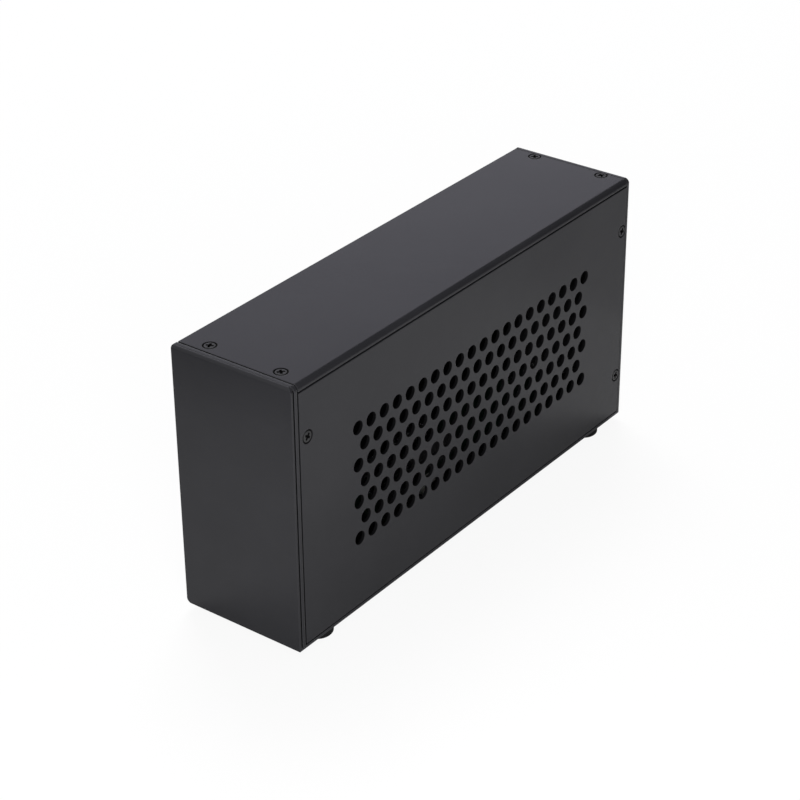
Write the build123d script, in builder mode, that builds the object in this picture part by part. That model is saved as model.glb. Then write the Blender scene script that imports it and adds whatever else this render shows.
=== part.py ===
from build123d import *
import os

os.makedirs("parts", exist_ok=True)

# External graphics card enclosure: a slim sheet metal box on four feet, with a vented right side.
# X is the width, Y the depth with the front at -Y, Z the height.
# The origin is the middle of the footprint, on the surface that the feet stand on.

# Box, without its feet
CASE_WIDTH = 70.0
CASE_DEPTH = 277.0
CASE_HEIGHT = 140.0

# Sheet metal
CHASSIS_SHEET = 2.0
FLOOR_SHEET = 1.6
COVER_SHEET = 1.6
FASCIA_SHEET = 1.2
FASCIA_BEND = 0.3
TAPE_THICKNESS = 1.0
TAPE_MARGIN = 2.0
BEND_RADIUS = 2.5
SQUARE_CORNER = 0.5
LIP_DEPTH = 3.2

# Seams that stay open between the sheets
FRONT_SEAM = 0.85
REAR_SEAM = 0.15
FLANGE_SEAM = 0.15
LONG_SEAM = 0.5
LIP_SEAM = 0.9

# Vents, screws and their holes repeat so often that each round is drawn with a few flats to stay light
ROUND_SIDES = 10

# Staggered vents of the right side: full rows alternate with rows that have one vent less
VENT_DIAMETER = 7.0
VENT_PITCH = 10.0
VENT_COLUMNS = 20
VENT_FULL_ROWS = 4
VENT_SHIFT = 1.5
VENT_DROP = 0.8

# Countersunk cover screws and the tapped blocks that they go into
SCREW_DIAMETER = 3.0
SCREW_LENGTH = 7.0
SINK_ANGLE = 90.0
SCREW_PLAY = 0.3
HEAD_LAND = 0.6
THREAD_PLAY = 0.05
TOP_SCREW_SPREAD = 41.6
FRONT_SCREW_INSET = 10.5
REAR_SCREW_INSET = 5.0
UPPER_SCREW_DROP = 28.3
LOWER_SCREW_RISE = 25.5
BLOCK_SIZE = 8.0
BLOCK_MARGIN = 3.5

# Feet
FOOT_DIAMETER = 16.0
FOOT_HEIGHT = 4.0
FOOT_CHAMFER = 0.9
FOOT_SIDE_INSET = 8.5
FOOT_END_INSET = 23.0

# Interface board on its standoffs
BOARD_SIDE_GAP = 3.4
BOARD_NOSE = 25.0
BOARD_THICKNESS = 1.6
BOARD_REAR_GAP = 1.0
STANDOFF_HEIGHT = 6.4
STANDOFF_FLATS = 5.5
BOARD_HOLE_SIDE = 3.5
BOARD_HOLE_REAR = 16.0
BOARD_HOLE_FRONT = 6.0
BOARD_SCREW_HEAD = 5.6
BOARD_SCREW_RISE = 1.8

# Card slot, its latch and the recessed frame for the card's bracket
SLOT_PITCH = 20.32
FRAME_SIDE_GAP = 2.88
FRAME_SHEET = 1.2
FRAME_RECESS = 13.0
WINDOW_RISE = 14.0
LEDGE_GAP = 6.8
OPENING_WIDTH = 14.5
OPENING_MARGIN = 4.0
FINGER_GAP = 10.0
BLANK_FLANGE = 1.6
BLANK_WALL = 1.0
BLANK_PLAY = 0.15
BLANK_REACH = 1.2
BLANK_RIDGE = 0.5
BLANK_RIDGE_LENGTH = 12.0
BLANK_RIDGE_PLAY = 0.2
BRACKET_SCREW_DIAMETER = 3.0
BRACKET_SCREW_REACH = 6.0
CARD_OFFSET = 5.1
SLOT_SETBACK = 45.0
SLOT_LENGTH = 89.0
SLOT_WIDTH = 7.5
SLOT_HEIGHT = 11.2
GROOVE_WIDTH = 1.8
GROOVE_DEPTH = 8.0
GROOVE_END = 2.0
KEY_POSITION = 14.0
KEY_WIDTH = 1.6
EAR_THICKNESS = 1.4
EAR_LENGTH = 6.5
EAR_HEIGHT = 7.5
PIVOT_REACH = 4.0
PIVOT_RISE = 5.0
PIVOT_DIAMETER = 2.0
PIVOT_PLAY = 0.05
LATCH_PLAY = 0.2
LATCH_HUB = 4.8
LATCH_ARM = 3.2
LATCH_HEIGHT = 16.0
HOOK_REACH = 5.0
HOOK_HEIGHT = 2.6

# Host port, power inlet and power button along the board's rear edge
HOST_PORT_X = -19.0
HOST_PORT_WIDTH = 9.0
HOST_PORT_HEIGHT = 3.3
HOST_PORT_LENGTH = 10.0
HOST_PORT_WALL = 0.3
HOST_PORT_DEPTH = 8.0
TONGUE_WIDTH = 6.7
TONGUE_THICKNESS = 0.7
TONGUE_LENGTH = 6.5
PORT_RECESS = 0.4
PORT_PLAY = 0.3
INLET_X = 1.0
INLET_WIDTH = 9.0
INLET_HEIGHT = 11.0
INLET_DEPTH = 13.5
BARREL_DIAMETER = 7.8
BARREL_BORE = 6.2
BARREL_DEPTH = 10.0
INLET_PIN = 2.0
INLET_PIN_LENGTH = 9.0
BUTTON_X = 20.0
BUTTON_DIAMETER = 5.0
BUTTON_COLLAR = 6.4
BUTTON_COLLAR_THICKNESS = 1.2
BUTTON_RECESS = 0.2
BUTTON_TRAVEL = 1.0
BUTTON_PLAY = 0.3
BUTTON_REST_GAP = 0.05
SWITCH_SIZE = 8.0
SWITCH_DEPTH = 7.0

# Larger components of the interface board
CHIP_X = -12.5
CHIP_FROM_FRONT = 24.0
CHIP_SIZE = 16.0
CHIP_HEIGHT = 1.2
HEATSINK_SIZE = 26.0
HEATSINK_BASE = 2.0
HEATSINK_HEIGHT = 9.0
FIN_COUNT = 7
FIN_THICKNESS = 1.2
CAPACITOR_X = -25.0
CAPACITOR_FROM_FRONT = 62.0
CAPACITOR_DIAMETER = 8.0
CAPACITOR_HEIGHT = 11.5
SUPPLY_COUNT = 3
INDUCTOR_X = -10.0
INDUCTOR_SIZE = 11.0
INDUCTOR_GAP = 1.0
INDUCTOR_HEIGHT = 6.0
INDUCTOR_CHAMFER = 1.5
POWER_SOCKET_WIDTH = 19.0
POWER_SOCKET_DEPTH = 11.0
POWER_SOCKET_HEIGHT = 13.0
POWER_SOCKET_PINS = 4
POWER_SOCKET_CAVITY = 3.2
POWER_SOCKET_PITCH = 4.2
POWER_SOCKET_INSET = 1.5
POWER_SOCKET_GAP = 1.0

# Planes of the box that the pieces share
right = CASE_WIDTH / 2
front = -CASE_DEPTH / 2
rear = CASE_DEPTH / 2
bottom = FOOT_HEIGHT
top = FOOT_HEIGHT + CASE_HEIGHT
floor_top = bottom + FLOOR_SHEET
cover_underside = top - COVER_SHEET
panel_inside = right - COVER_SHEET
wall_face = front + FASCIA_SHEET + TAPE_THICKNESS
wall_inside = wall_face + CHASSIS_SHEET
flange_end = wall_face - FLANGE_SEAM
sill_front = front + FASCIA_SHEET + FLANGE_SEAM
rear_inside = rear - CHASSIS_SHEET
cover_front = wall_inside + FRONT_SEAM
cover_rear = rear_inside - REAR_SEAM
cover_length = cover_rear - cover_front
cover_middle = (cover_front + cover_rear) / 2

# Cover screws: each plane lies on a cover's outside at a screw, with its Y along the box
front_screw_y = front + FRONT_SCREW_INSET
rear_screw_y = rear - REAR_SCREW_INSET
upper_screw_z = top - UPPER_SCREW_DROP
lower_screw_z = bottom + LOWER_SCREW_RISE
screw_radius = SCREW_DIAMETER / 2
hole_radius = screw_radius + SCREW_PLAY
thread_radius = screw_radius + THREAD_PLAY


def top_planes(y):
    """Planes of the two top screws in the row at y."""
    return [Plane((x, y, top)) for x in (-TOP_SCREW_SPREAD / 2, TOP_SCREW_SPREAD / 2)]


def right_plane(y, z):
    """Plane of a screw in the right side."""
    return Plane((right, y, z), x_dir=(0, 0, -1), z_dir=(1, 0, 0))


def left_plane(y, z):
    """Plane of a screw in the left side."""
    return Plane((-right, y, z), x_dir=(0, 0, 1), z_dir=(-1, 0, 0))


side_points = [(front_screw_y, upper_screw_z), (rear_screw_y, upper_screw_z), (rear_screw_y, lower_screw_z)]
top_screw_planes = top_planes(front_screw_y) + top_planes(rear_screw_y)
right_screw_planes = [right_plane(y, z) for y, z in side_points]
left_screw_planes = [left_plane(y, z) for y, z in side_points]

# Slot frame: it stands between the side blocks and under the top ones
frame_front = rear_inside - FRAME_RECESS
frame_half_width = panel_inside - BLOCK_SIZE - FRAME_SIDE_GAP
window_width = 2 * (frame_half_width - FRAME_SHEET)
ledge_top = cover_underside - BLOCK_SIZE - LEDGE_GAP
window_top = ledge_top - FRAME_SHEET
frame_rear = frame_front + FRAME_SHEET

# Interface board: its front edge lies ahead of the card slot
slot_x = SLOT_PITCH / 2 + CARD_OFFSET
slot_rear = frame_front - SLOT_SETBACK
slot_front = slot_rear - SLOT_LENGTH
board_under = floor_top + STANDOFF_HEIGHT
board_top = board_under + BOARD_THICKNESS
board_half_width = panel_inside - BOARD_SIDE_GAP
board_rear = rear_inside - BOARD_REAR_GAP
board_front = slot_front - BOARD_NOSE
board_hole_x = board_half_width - BOARD_HOLE_SIDE
board_holes = [
    (x, y)
    for x in (-board_hole_x, board_hole_x)
    for y in (board_front + BOARD_HOLE_FRONT, board_rear - BOARD_HOLE_REAR)
]
window_bottom = board_top + WINDOW_RISE
window_middle = (window_bottom + window_top) / 2
opening_bottom = window_bottom + OPENING_MARGIN
opening_top = window_top - OPENING_MARGIN

# Places on the board
pivot_y = slot_front - PIVOT_REACH
pivot_z = board_top + PIVOT_RISE
port_z = board_top + HOST_PORT_HEIGHT / 2
inlet_z = board_top + INLET_HEIGHT / 2
button_z = board_top + SWITCH_SIZE / 2
button_hole = BUTTON_DIAMETER / 2 + BUTTON_PLAY
supply_pitch = INDUCTOR_SIZE + INDUCTOR_GAP


def draw_round(radius, mode=Mode.ADD):
    """Draw a small round in the open sketch, with its flats at the radius."""
    RegularPolygon(radius, ROUND_SIDES, major_radius=False, mode=mode)


def cut_countersinks(planes):
    """Cut the countersunk screw holes through the open cover."""
    with BuildSketch(*planes) as sinks:
        draw_round(hole_radius + COVER_SHEET)
    extrude(sinks.sketch, amount=-COVER_SHEET, taper=SINK_ANGLE / 2, mode=Mode.SUBTRACT)


def draw_case_outline(sketch, inset=0.0):
    """Draw the front outline in the open sketch: folded corners are round, cut corners almost square."""
    with Locations((0, bottom + CASE_HEIGHT / 2)):
        Rectangle(CASE_WIDTH - 2 * inset, CASE_HEIGHT - 2 * inset)
    corners = sketch.vertices().sort_by(lambda corner: corner.X + corner.Y)
    fillet([corners[0], corners[3]], radius=max(BEND_RADIUS - inset, SQUARE_CORNER))
    fillet([corners[1], corners[2]], radius=SQUARE_CORNER)


# Chassis: the front and rear walls are welded square to the floor, which has a lip folded up on the left.
# The floor reaches ahead of the front wall and closes the shadow line at the foot.
with BuildPart() as chassis:
    with BuildSketch(Plane.YZ) as outside:
        with Locations(((wall_face + rear) / 2, bottom)):
            Rectangle(rear - wall_face, CASE_HEIGHT, align=(Align.CENTER, Align.MIN))
        rear_corner = outside.vertices().group_by(Axis.Y)[0].sort_by(Axis.X)[-1]
        fillet(rear_corner, radius=SQUARE_CORNER)
        with Locations((sill_front, bottom)):
            Rectangle(wall_face - sill_front, FLOOR_SHEET, align=(Align.MIN, Align.MIN))
    extrude(amount=CASE_WIDTH / 2, both=True)
    with BuildSketch(Plane.YZ):
        with Locations(((wall_inside + rear_inside) / 2, floor_top)):
            Rectangle(rear_inside - wall_inside, CASE_HEIGHT, align=(Align.CENTER, Align.MIN))
    extrude(amount=CASE_WIDTH, both=True, mode=Mode.SUBTRACT)
    with Locations((-right, cover_middle, bottom)):
        Box(
            FLOOR_SHEET,
            cover_length - 2 * BEND_RADIUS,
            LIP_DEPTH,
            align=(Align.MIN, Align.CENTER, Align.MIN),
        )
    lip_root = (-right + FLOOR_SHEET, cover_middle, floor_top)
    lip_corner = chassis.edges().filter_by(Axis.Y).sort_by_distance(lip_root)[0]
    fillet(lip_corner, radius=BEND_RADIUS - FLOOR_SHEET)
    with BuildSketch(Plane.XZ) as chassis_outline:
        draw_case_outline(chassis_outline)
    extrude(amount=CASE_DEPTH, both=True, mode=Mode.INTERSECT)
    with BuildSketch(Plane.XZ.offset(-rear)):
        with Locations((0, window_middle)):
            Rectangle(window_width, window_top - window_bottom)
        with Locations((HOST_PORT_X, port_z)):
            SlotOverall(HOST_PORT_WIDTH + 2 * PORT_PLAY, HOST_PORT_HEIGHT + 2 * PORT_PLAY)
        with Locations((INLET_X, inlet_z)):
            Circle(BARREL_DIAMETER / 2 + PORT_PLAY)
        with Locations((BUTTON_X, button_z)):
            Circle(button_hole)
    extrude(amount=CHASSIS_SHEET, mode=Mode.SUBTRACT)
chassis.part.label = "chassis"
export_step(chassis.part, "parts/chassis.step")

# Front fascia: a plain plate whose top edge is folded back to the front wall
with BuildPart() as front_fascia:
    with BuildSketch(Plane.YZ):
        with BuildLine():
            FilletPolyline(
                (front, bottom),
                (front, top),
                (flange_end, top),
                radius=FASCIA_BEND + FASCIA_SHEET,
            )
            offset(amount=FASCIA_SHEET, side=Side.RIGHT)
        make_face()
    extrude(amount=CASE_WIDTH / 2, both=True)
    with BuildSketch(Plane.XZ) as fascia_outline:
        draw_case_outline(fascia_outline)
    extrude(amount=CASE_DEPTH, both=True, mode=Mode.INTERSECT)
front_fascia.part.label = "front_fascia"
export_step(front_fascia.part, "parts/front_fascia.step")

# Bonding tape between the fascia and the front wall, set back so that it leaves a shadow line
with BuildPart() as fascia_tape:
    with BuildSketch(Plane.XZ.offset(-wall_face)) as tape_outline:
        draw_case_outline(tape_outline, TAPE_MARGIN + BEND_RADIUS)
    extrude(amount=TAPE_THICKNESS)
fascia_tape.part.label = "fascia_tape"
export_step(fascia_tape.part, "parts/fascia_tape.step")

# Top cover: a sheet with a lip folded down its right side
with BuildPart() as top_cover:
    with BuildSketch(Plane.XZ.offset(-cover_rear)):
        with BuildLine():
            FilletPolyline((-right, top), (right, top), (right, top - LIP_DEPTH), radius=BEND_RADIUS)
            offset(amount=COVER_SHEET, side=Side.RIGHT)
        make_face()
    extrude(amount=cover_length)
    cut_countersinks(top_screw_planes)
top_cover.part.label = "top_cover"
export_step(top_cover.part, "parts/top_cover.step")

# Right side panel: flat, with the vents
right_low = floor_top + LONG_SEAM
right_high = top - LIP_DEPTH - LIP_SEAM
vent_middle = bottom + CASE_HEIGHT / 2 - VENT_DROP
with BuildPart() as right_side_panel:
    with BuildSketch(Plane.YZ.offset(panel_inside)):
        with Locations((cover_middle, (right_low + right_high) / 2)):
            Rectangle(cover_length, right_high - right_low)
        with Locations((cover_middle + VENT_SHIFT, vent_middle)):
            with GridLocations(VENT_PITCH, 2 * VENT_PITCH, VENT_COLUMNS, VENT_FULL_ROWS):
                draw_round(VENT_DIAMETER / 2, mode=Mode.SUBTRACT)
            with GridLocations(VENT_PITCH, 2 * VENT_PITCH, VENT_COLUMNS - 1, VENT_FULL_ROWS - 1):
                draw_round(VENT_DIAMETER / 2, mode=Mode.SUBTRACT)
    extrude(amount=COVER_SHEET)
    cut_countersinks(right_screw_planes)
right_side_panel.part.label = "right_side_panel"
export_step(right_side_panel.part, "parts/right_side_panel.step")

# Left side panel: flat and closed, between the floor's lip and the top cover's cut edge
left_low = bottom + LIP_DEPTH + LIP_SEAM
left_high = cover_underside - LONG_SEAM
with BuildPart() as left_side_panel:
    with BuildSketch(Plane.YZ.offset(-right)):
        with Locations((cover_middle, (left_low + left_high) / 2)):
            Rectangle(cover_length, left_high - left_low)
    extrude(amount=COVER_SHEET)
    cut_countersinks(left_screw_planes)
left_side_panel.part.label = "left_side_panel"
export_step(left_side_panel.part, "parts/left_side_panel.step")

# One countersunk screw, with the cover's outside at Z = 0: its head has a straight land above the cone
head_radius = hole_radius + COVER_SHEET - HEAD_LAND
with BuildPart() as cover_screw:
    with BuildSketch():
        draw_round(head_radius)
    extrude(amount=-HEAD_LAND)
    with BuildSketch(Plane.XY.offset(-HEAD_LAND)):
        draw_round(head_radius)
    extrude(amount=HEAD_LAND - COVER_SHEET, taper=SINK_ANGLE / 2)
    with BuildSketch(Plane.XY.offset(-COVER_SHEET)):
        draw_round(screw_radius)
    extrude(amount=COVER_SHEET - SCREW_LENGTH)

with BuildPart() as top_screws:
    with Locations(*top_screw_planes):
        add(cover_screw.part)
top_screws.part.label = "top_screws"
export_step(top_screws.part, "parts/top_screws.step")

with BuildPart() as right_side_screws:
    with Locations(*right_screw_planes):
        add(cover_screw.part)
right_side_screws.part.label = "right_side_screws"
export_step(right_side_screws.part, "parts/right_side_screws.step")

with BuildPart() as left_side_screws:
    with Locations(*left_screw_planes):
        add(cover_screw.part)
left_side_screws.part.label = "left_side_screws"
export_step(left_side_screws.part, "parts/left_side_screws.step")

# Tapped blocks, clinched to the inside of the front and rear walls, under the covers
with BuildPart() as front_block:
    with BuildSketch():
        with Locations((0, wall_inside - front_screw_y)):
            Rectangle(
                BLOCK_SIZE,
                front_screw_y - wall_inside + BLOCK_MARGIN,
                align=(Align.CENTER, Align.MIN),
            )
        draw_round(thread_radius, mode=Mode.SUBTRACT)
    extrude(amount=-BLOCK_SIZE)

with BuildPart() as rear_block:
    with BuildSketch():
        with Locations((0, rear_inside - rear_screw_y)):
            Rectangle(
                BLOCK_SIZE,
                rear_inside - rear_screw_y + BLOCK_MARGIN,
                align=(Align.CENTER, Align.MAX),
            )
        draw_round(thread_radius, mode=Mode.SUBTRACT)
    extrude(amount=-BLOCK_SIZE)

front_block_planes = top_screw_planes[:2] + right_screw_planes[:1] + left_screw_planes[:1]
rear_block_planes = top_screw_planes[2:] + right_screw_planes[1:] + left_screw_planes[1:]

with BuildPart() as front_screw_blocks:
    with Locations(*[plane.offset(-COVER_SHEET) for plane in front_block_planes]):
        add(front_block.part)
front_screw_blocks.part.label = "front_screw_blocks"
export_step(front_screw_blocks.part, "parts/front_screw_blocks.step")

with BuildPart() as rear_screw_blocks:
    with Locations(*[plane.offset(-COVER_SHEET) for plane in rear_block_planes]):
        add(rear_block.part)
rear_screw_blocks.part.label = "rear_screw_blocks"
export_step(rear_screw_blocks.part, "parts/rear_screw_blocks.step")

# Rubber feet under the floor
foot_x = right - FOOT_SIDE_INSET
foot_y = rear - FOOT_END_INSET
with BuildPart() as feet:
    with BuildSketch():
        with GridLocations(2 * foot_x, 2 * foot_y, 2, 2):
            Circle(FOOT_DIAMETER / 2)
    extrude(amount=FOOT_HEIGHT)
    chamfer(feet.faces().group_by(Axis.Z)[0].edges(), length=FOOT_CHAMFER)
feet.part.label = "feet"
export_step(feet.part, "parts/feet.step")

# Slot frame: a folded pan against the rear wall, with two card openings and a ledge for the bracket's screws
with BuildPart() as slot_frame:
    with Locations((0, frame_front, window_bottom - FRAME_SHEET)):
        Box(
            2 * frame_half_width,
            FRAME_RECESS,
            ledge_top - window_bottom + FRAME_SHEET,
            align=(Align.CENTER, Align.MIN, Align.MIN),
        )
    with Locations((0, frame_rear, window_bottom)):
        Box(
            window_width,
            FRAME_RECESS - FRAME_SHEET,
            window_top - window_bottom,
            align=(Align.CENTER, Align.MIN, Align.MIN),
            mode=Mode.SUBTRACT,
        )
    with BuildSketch(Plane.XZ.offset(-frame_rear)):
        with Locations((0, window_middle)):
            with GridLocations(SLOT_PITCH, 0, 2, 1):
                Rectangle(OPENING_WIDTH, opening_top - opening_bottom)
    extrude(amount=FRAME_SHEET, mode=Mode.SUBTRACT)
    with Locations((0, frame_front + BRACKET_SCREW_REACH, ledge_top)):
        with GridLocations(SLOT_PITCH, 0, 2, 1):
            Hole(BRACKET_SCREW_DIAMETER / 2, depth=FRAME_SHEET)
slot_frame.part.label = "slot_frame"
export_step(slot_frame.part, "parts/slot_frame.step")

# Snap-in blanks of the card openings: a flange outside the frame, and a rim with ridges that grip it inside.
# Each stops short of the opening's top, and the gap is where a finger pulls it out.
blank_top = opening_top - FINGER_GAP
blank_width = OPENING_WIDTH - 2 * BLANK_PLAY
blank_height = blank_top - opening_bottom - BLANK_PLAY
blank_middle = blank_top - blank_height / 2
rim_depth = FRAME_SHEET + BLANK_REACH
ridge_thickness = BLANK_REACH - BLANK_RIDGE_PLAY
ridge_spread = blank_width + 2 * (BLANK_RIDGE + BLANK_PLAY)
slot_columns = (-SLOT_PITCH / 2, SLOT_PITCH / 2)
with BuildPart() as slot_blanks:
    with Locations(*[(x, frame_rear, blank_top) for x in slot_columns]):
        Box(
            OPENING_WIDTH + 2 * BLANK_FLANGE,
            BLANK_WALL,
            blank_top - opening_bottom + BLANK_FLANGE,
            align=(Align.CENTER, Align.MIN, Align.MAX),
        )
        Box(blank_width, rim_depth, blank_height, align=(Align.CENTER, Align.MAX, Align.MAX))
    with Locations(*[(x, frame_rear - rim_depth, blank_middle) for x in slot_columns]):
        Box(ridge_spread, ridge_thickness, BLANK_RIDGE_LENGTH, align=(Align.CENTER, Align.MIN, Align.CENTER))
        Box(
            blank_width - 2 * BLANK_WALL,
            rim_depth,
            blank_height - 2 * BLANK_WALL,
            align=(Align.CENTER, Align.MIN, Align.CENTER),
            mode=Mode.SUBTRACT,
        )
slot_blanks.part.label = "slot_blanks"
export_step(slot_blanks.part, "parts/slot_blanks.step")

# Interface board
with BuildPart() as interface_board:
    with BuildSketch(Plane.XY.offset(board_under)):
        with Locations((0, (board_front + board_rear) / 2)):
            Rectangle(2 * board_half_width, board_rear - board_front)
        with Locations(*board_holes):
            draw_round(hole_radius, mode=Mode.SUBTRACT)
    extrude(amount=BOARD_THICKNESS)
interface_board.part.label = "interface_board"
export_step(interface_board.part, "parts/interface_board.step")

with BuildPart() as board_standoffs:
    with BuildSketch(Plane.XY.offset(floor_top)):
        with Locations(*board_holes):
            RegularPolygon(STANDOFF_FLATS / 2, 6, major_radius=False)
            draw_round(thread_radius, mode=Mode.SUBTRACT)
    extrude(amount=STANDOFF_HEIGHT)
board_standoffs.part.label = "board_standoffs"
export_step(board_standoffs.part, "parts/board_standoffs.step")

# Pan head screws that hold the board down
with BuildPart() as board_screws:
    with BuildSketch(Plane.XY.offset(board_top)):
        with Locations(*board_holes):
            draw_round(BOARD_SCREW_HEAD / 2)
    extrude(amount=BOARD_SCREW_RISE)
    with BuildSketch(Plane.XY.offset(board_top)):
        with Locations(*board_holes):
            draw_round(screw_radius)
    extrude(amount=-(BOARD_THICKNESS + STANDOFF_HEIGHT / 2))
board_screws.part.label = "board_screws"
export_step(board_screws.part, "parts/board_screws.step")

# Card slot: a long socket with a keyed groove, and ears with the latch's pivot at its front end
slot_middle = (slot_front + slot_rear) / 2
with BuildPart() as card_slot:
    with Locations((slot_x, slot_middle, board_top)):
        Box(SLOT_WIDTH, SLOT_LENGTH, SLOT_HEIGHT, align=(Align.CENTER, Align.CENTER, Align.MIN))
    with BuildSketch(Plane.XY.offset(board_top + SLOT_HEIGHT)):
        with Locations((slot_x, slot_middle)):
            Rectangle(GROOVE_WIDTH, SLOT_LENGTH - 2 * GROOVE_END)
        with Locations((slot_x, slot_rear - KEY_POSITION)):
            Rectangle(GROOVE_WIDTH, KEY_WIDTH, mode=Mode.SUBTRACT)
    extrude(amount=-GROOVE_DEPTH, mode=Mode.SUBTRACT)
    ear_x = SLOT_WIDTH / 2 - EAR_THICKNESS / 2
    with Locations((slot_x - ear_x, slot_front, board_top), (slot_x + ear_x, slot_front, board_top)):
        Box(EAR_THICKNESS, EAR_LENGTH, EAR_HEIGHT, align=(Align.CENTER, Align.MAX, Align.MIN))
    with BuildSketch(Plane.YZ.offset(slot_x)):
        with Locations((pivot_y, pivot_z)):
            Circle(PIVOT_DIAMETER / 2)
    extrude(amount=SLOT_WIDTH / 2, both=True)
card_slot.part.label = "card_slot"
export_step(card_slot.part, "parts/card_slot.step")

# Slot latch: a lever on the pivot, with a hook over the slot's end
latch_width = SLOT_WIDTH - 2 * EAR_THICKNESS - 2 * LATCH_PLAY
with BuildPart() as slot_latch:
    with BuildSketch(Plane.YZ.offset(slot_x)):
        with Locations((pivot_y, pivot_z)):
            Circle(LATCH_HUB / 2)
            Rectangle(LATCH_ARM, LATCH_HEIGHT - PIVOT_RISE, align=(Align.CENTER, Align.MIN))
        with Locations((pivot_y - LATCH_ARM / 2, board_top + LATCH_HEIGHT)):
            Rectangle(LATCH_ARM + HOOK_REACH, HOOK_HEIGHT, align=(Align.MIN, Align.MAX))
        with Locations((pivot_y, pivot_z)):
            Circle(PIVOT_DIAMETER / 2 + PIVOT_PLAY, mode=Mode.SUBTRACT)
    extrude(amount=latch_width / 2, both=True)
slot_latch.part.label = "slot_latch"
export_step(slot_latch.part, "parts/slot_latch.step")

# Host port: a rounded metal shell with its contact tongue
port_mouth = rear - PORT_RECESS
with BuildPart() as host_port:
    with BuildSketch(Plane.XZ.offset(-port_mouth)):
        with Locations((HOST_PORT_X, port_z)):
            SlotOverall(HOST_PORT_WIDTH, HOST_PORT_HEIGHT)
    extrude(amount=HOST_PORT_LENGTH)
    with BuildSketch(Plane.XZ.offset(-port_mouth)):
        with Locations((HOST_PORT_X, port_z)):
            SlotOverall(HOST_PORT_WIDTH - 2 * HOST_PORT_WALL, HOST_PORT_HEIGHT - 2 * HOST_PORT_WALL)
    extrude(amount=HOST_PORT_DEPTH, mode=Mode.SUBTRACT)
    with Locations((HOST_PORT_X, port_mouth - HOST_PORT_DEPTH, port_z)):
        Box(TONGUE_WIDTH, TONGUE_LENGTH, TONGUE_THICKNESS, align=(Align.CENTER, Align.MIN, Align.CENTER))
host_port.part.label = "host_port"
export_step(host_port.part, "parts/host_port.step")

# Power inlet: a barrel jack whose mouth stands in the rear wall
with BuildPart() as power_inlet:
    with Locations((INLET_X, rear_inside, board_top)):
        Box(INLET_WIDTH, INLET_DEPTH, INLET_HEIGHT, align=(Align.CENTER, Align.MAX, Align.MIN))
    with BuildSketch(Plane.XZ.offset(-port_mouth)):
        with Locations((INLET_X, inlet_z)):
            Circle(BARREL_DIAMETER / 2)
    extrude(amount=port_mouth - rear_inside)
    with BuildSketch(Plane.XZ.offset(-port_mouth)):
        with Locations((INLET_X, inlet_z)):
            Circle(BARREL_BORE / 2)
    extrude(amount=BARREL_DEPTH, mode=Mode.SUBTRACT)
    with BuildSketch(Plane.XZ.offset(-port_mouth + BARREL_DEPTH)):
        with Locations((INLET_X, inlet_z)):
            draw_round(INLET_PIN / 2)
    extrude(amount=-INLET_PIN_LENGTH)
power_inlet.part.label = "power_inlet"
export_step(power_inlet.part, "parts/power_inlet.step")

# Switch body behind the power button, with the pocket that the button's collar travels in
pocket_depth = BUTTON_REST_GAP + BUTTON_COLLAR_THICKNESS + BUTTON_TRAVEL + BUTTON_PLAY
with BuildPart() as button_switch:
    with Locations((BUTTON_X, rear_inside, board_top)):
        Box(SWITCH_SIZE, SWITCH_DEPTH, SWITCH_SIZE, align=(Align.CENTER, Align.MAX, Align.MIN))
    with BuildSketch(Plane.XZ.offset(-rear_inside)):
        with Locations((BUTTON_X, button_z)):
            Rectangle(BUTTON_COLLAR + 2 * BUTTON_PLAY, BUTTON_COLLAR + 2 * BUTTON_PLAY)
    extrude(amount=pocket_depth, mode=Mode.SUBTRACT)
button_switch.part.label = "button_switch"
export_step(button_switch.part, "parts/button_switch.step")

# Power button: a plunger that the collar keeps behind the rear wall
with BuildPart() as power_button:
    with BuildSketch(Plane.XZ.offset(-rear_inside + BUTTON_REST_GAP)):
        with Locations((BUTTON_X, button_z)):
            Rectangle(BUTTON_COLLAR, BUTTON_COLLAR)
    extrude(amount=BUTTON_COLLAR_THICKNESS)
    with BuildSketch(Plane.XZ.offset(-rear + BUTTON_RECESS)):
        with Locations((BUTTON_X, button_z)):
            Circle(BUTTON_DIAMETER / 2)
    extrude(amount=CHASSIS_SHEET - BUTTON_RECESS + BUTTON_REST_GAP)
power_button.part.label = "power_button"
export_step(power_button.part, "parts/power_button.step")

# Bridge chip with its finned heatsink
chip_y = board_front + CHIP_FROM_FRONT
with BuildPart() as controller_chip:
    with Locations((CHIP_X, chip_y, board_top)):
        Box(CHIP_SIZE, CHIP_SIZE, CHIP_HEIGHT, align=(Align.CENTER, Align.CENTER, Align.MIN))
controller_chip.part.label = "controller_chip"
export_step(controller_chip.part, "parts/controller_chip.step")

fin_pitch = (HEATSINK_SIZE - FIN_THICKNESS) / (FIN_COUNT - 1)
with BuildPart() as controller_heatsink:
    with Locations((CHIP_X, chip_y, board_top + CHIP_HEIGHT)):
        Box(HEATSINK_SIZE, HEATSINK_SIZE, HEATSINK_BASE, align=(Align.CENTER, Align.CENTER, Align.MIN))
        with GridLocations(fin_pitch, 0, FIN_COUNT, 1):
            Box(FIN_THICKNESS, HEATSINK_SIZE, HEATSINK_HEIGHT, align=(Align.CENTER, Align.CENTER, Align.MIN))
controller_heatsink.part.label = "controller_heatsink"
export_step(controller_heatsink.part, "parts/controller_heatsink.step")

# Capacitors along the board's left edge, each beside its inductor
supply_y = board_front + CAPACITOR_FROM_FRONT
with BuildPart() as capacitors:
    with BuildSketch(Plane.XY.offset(board_top)):
        with Locations((CAPACITOR_X, supply_y)):
            with GridLocations(0, supply_pitch, 1, SUPPLY_COUNT):
                draw_round(CAPACITOR_DIAMETER / 2)
    extrude(amount=CAPACITOR_HEIGHT)
capacitors.part.label = "capacitors"
export_step(capacitors.part, "parts/capacitors.step")

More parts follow.
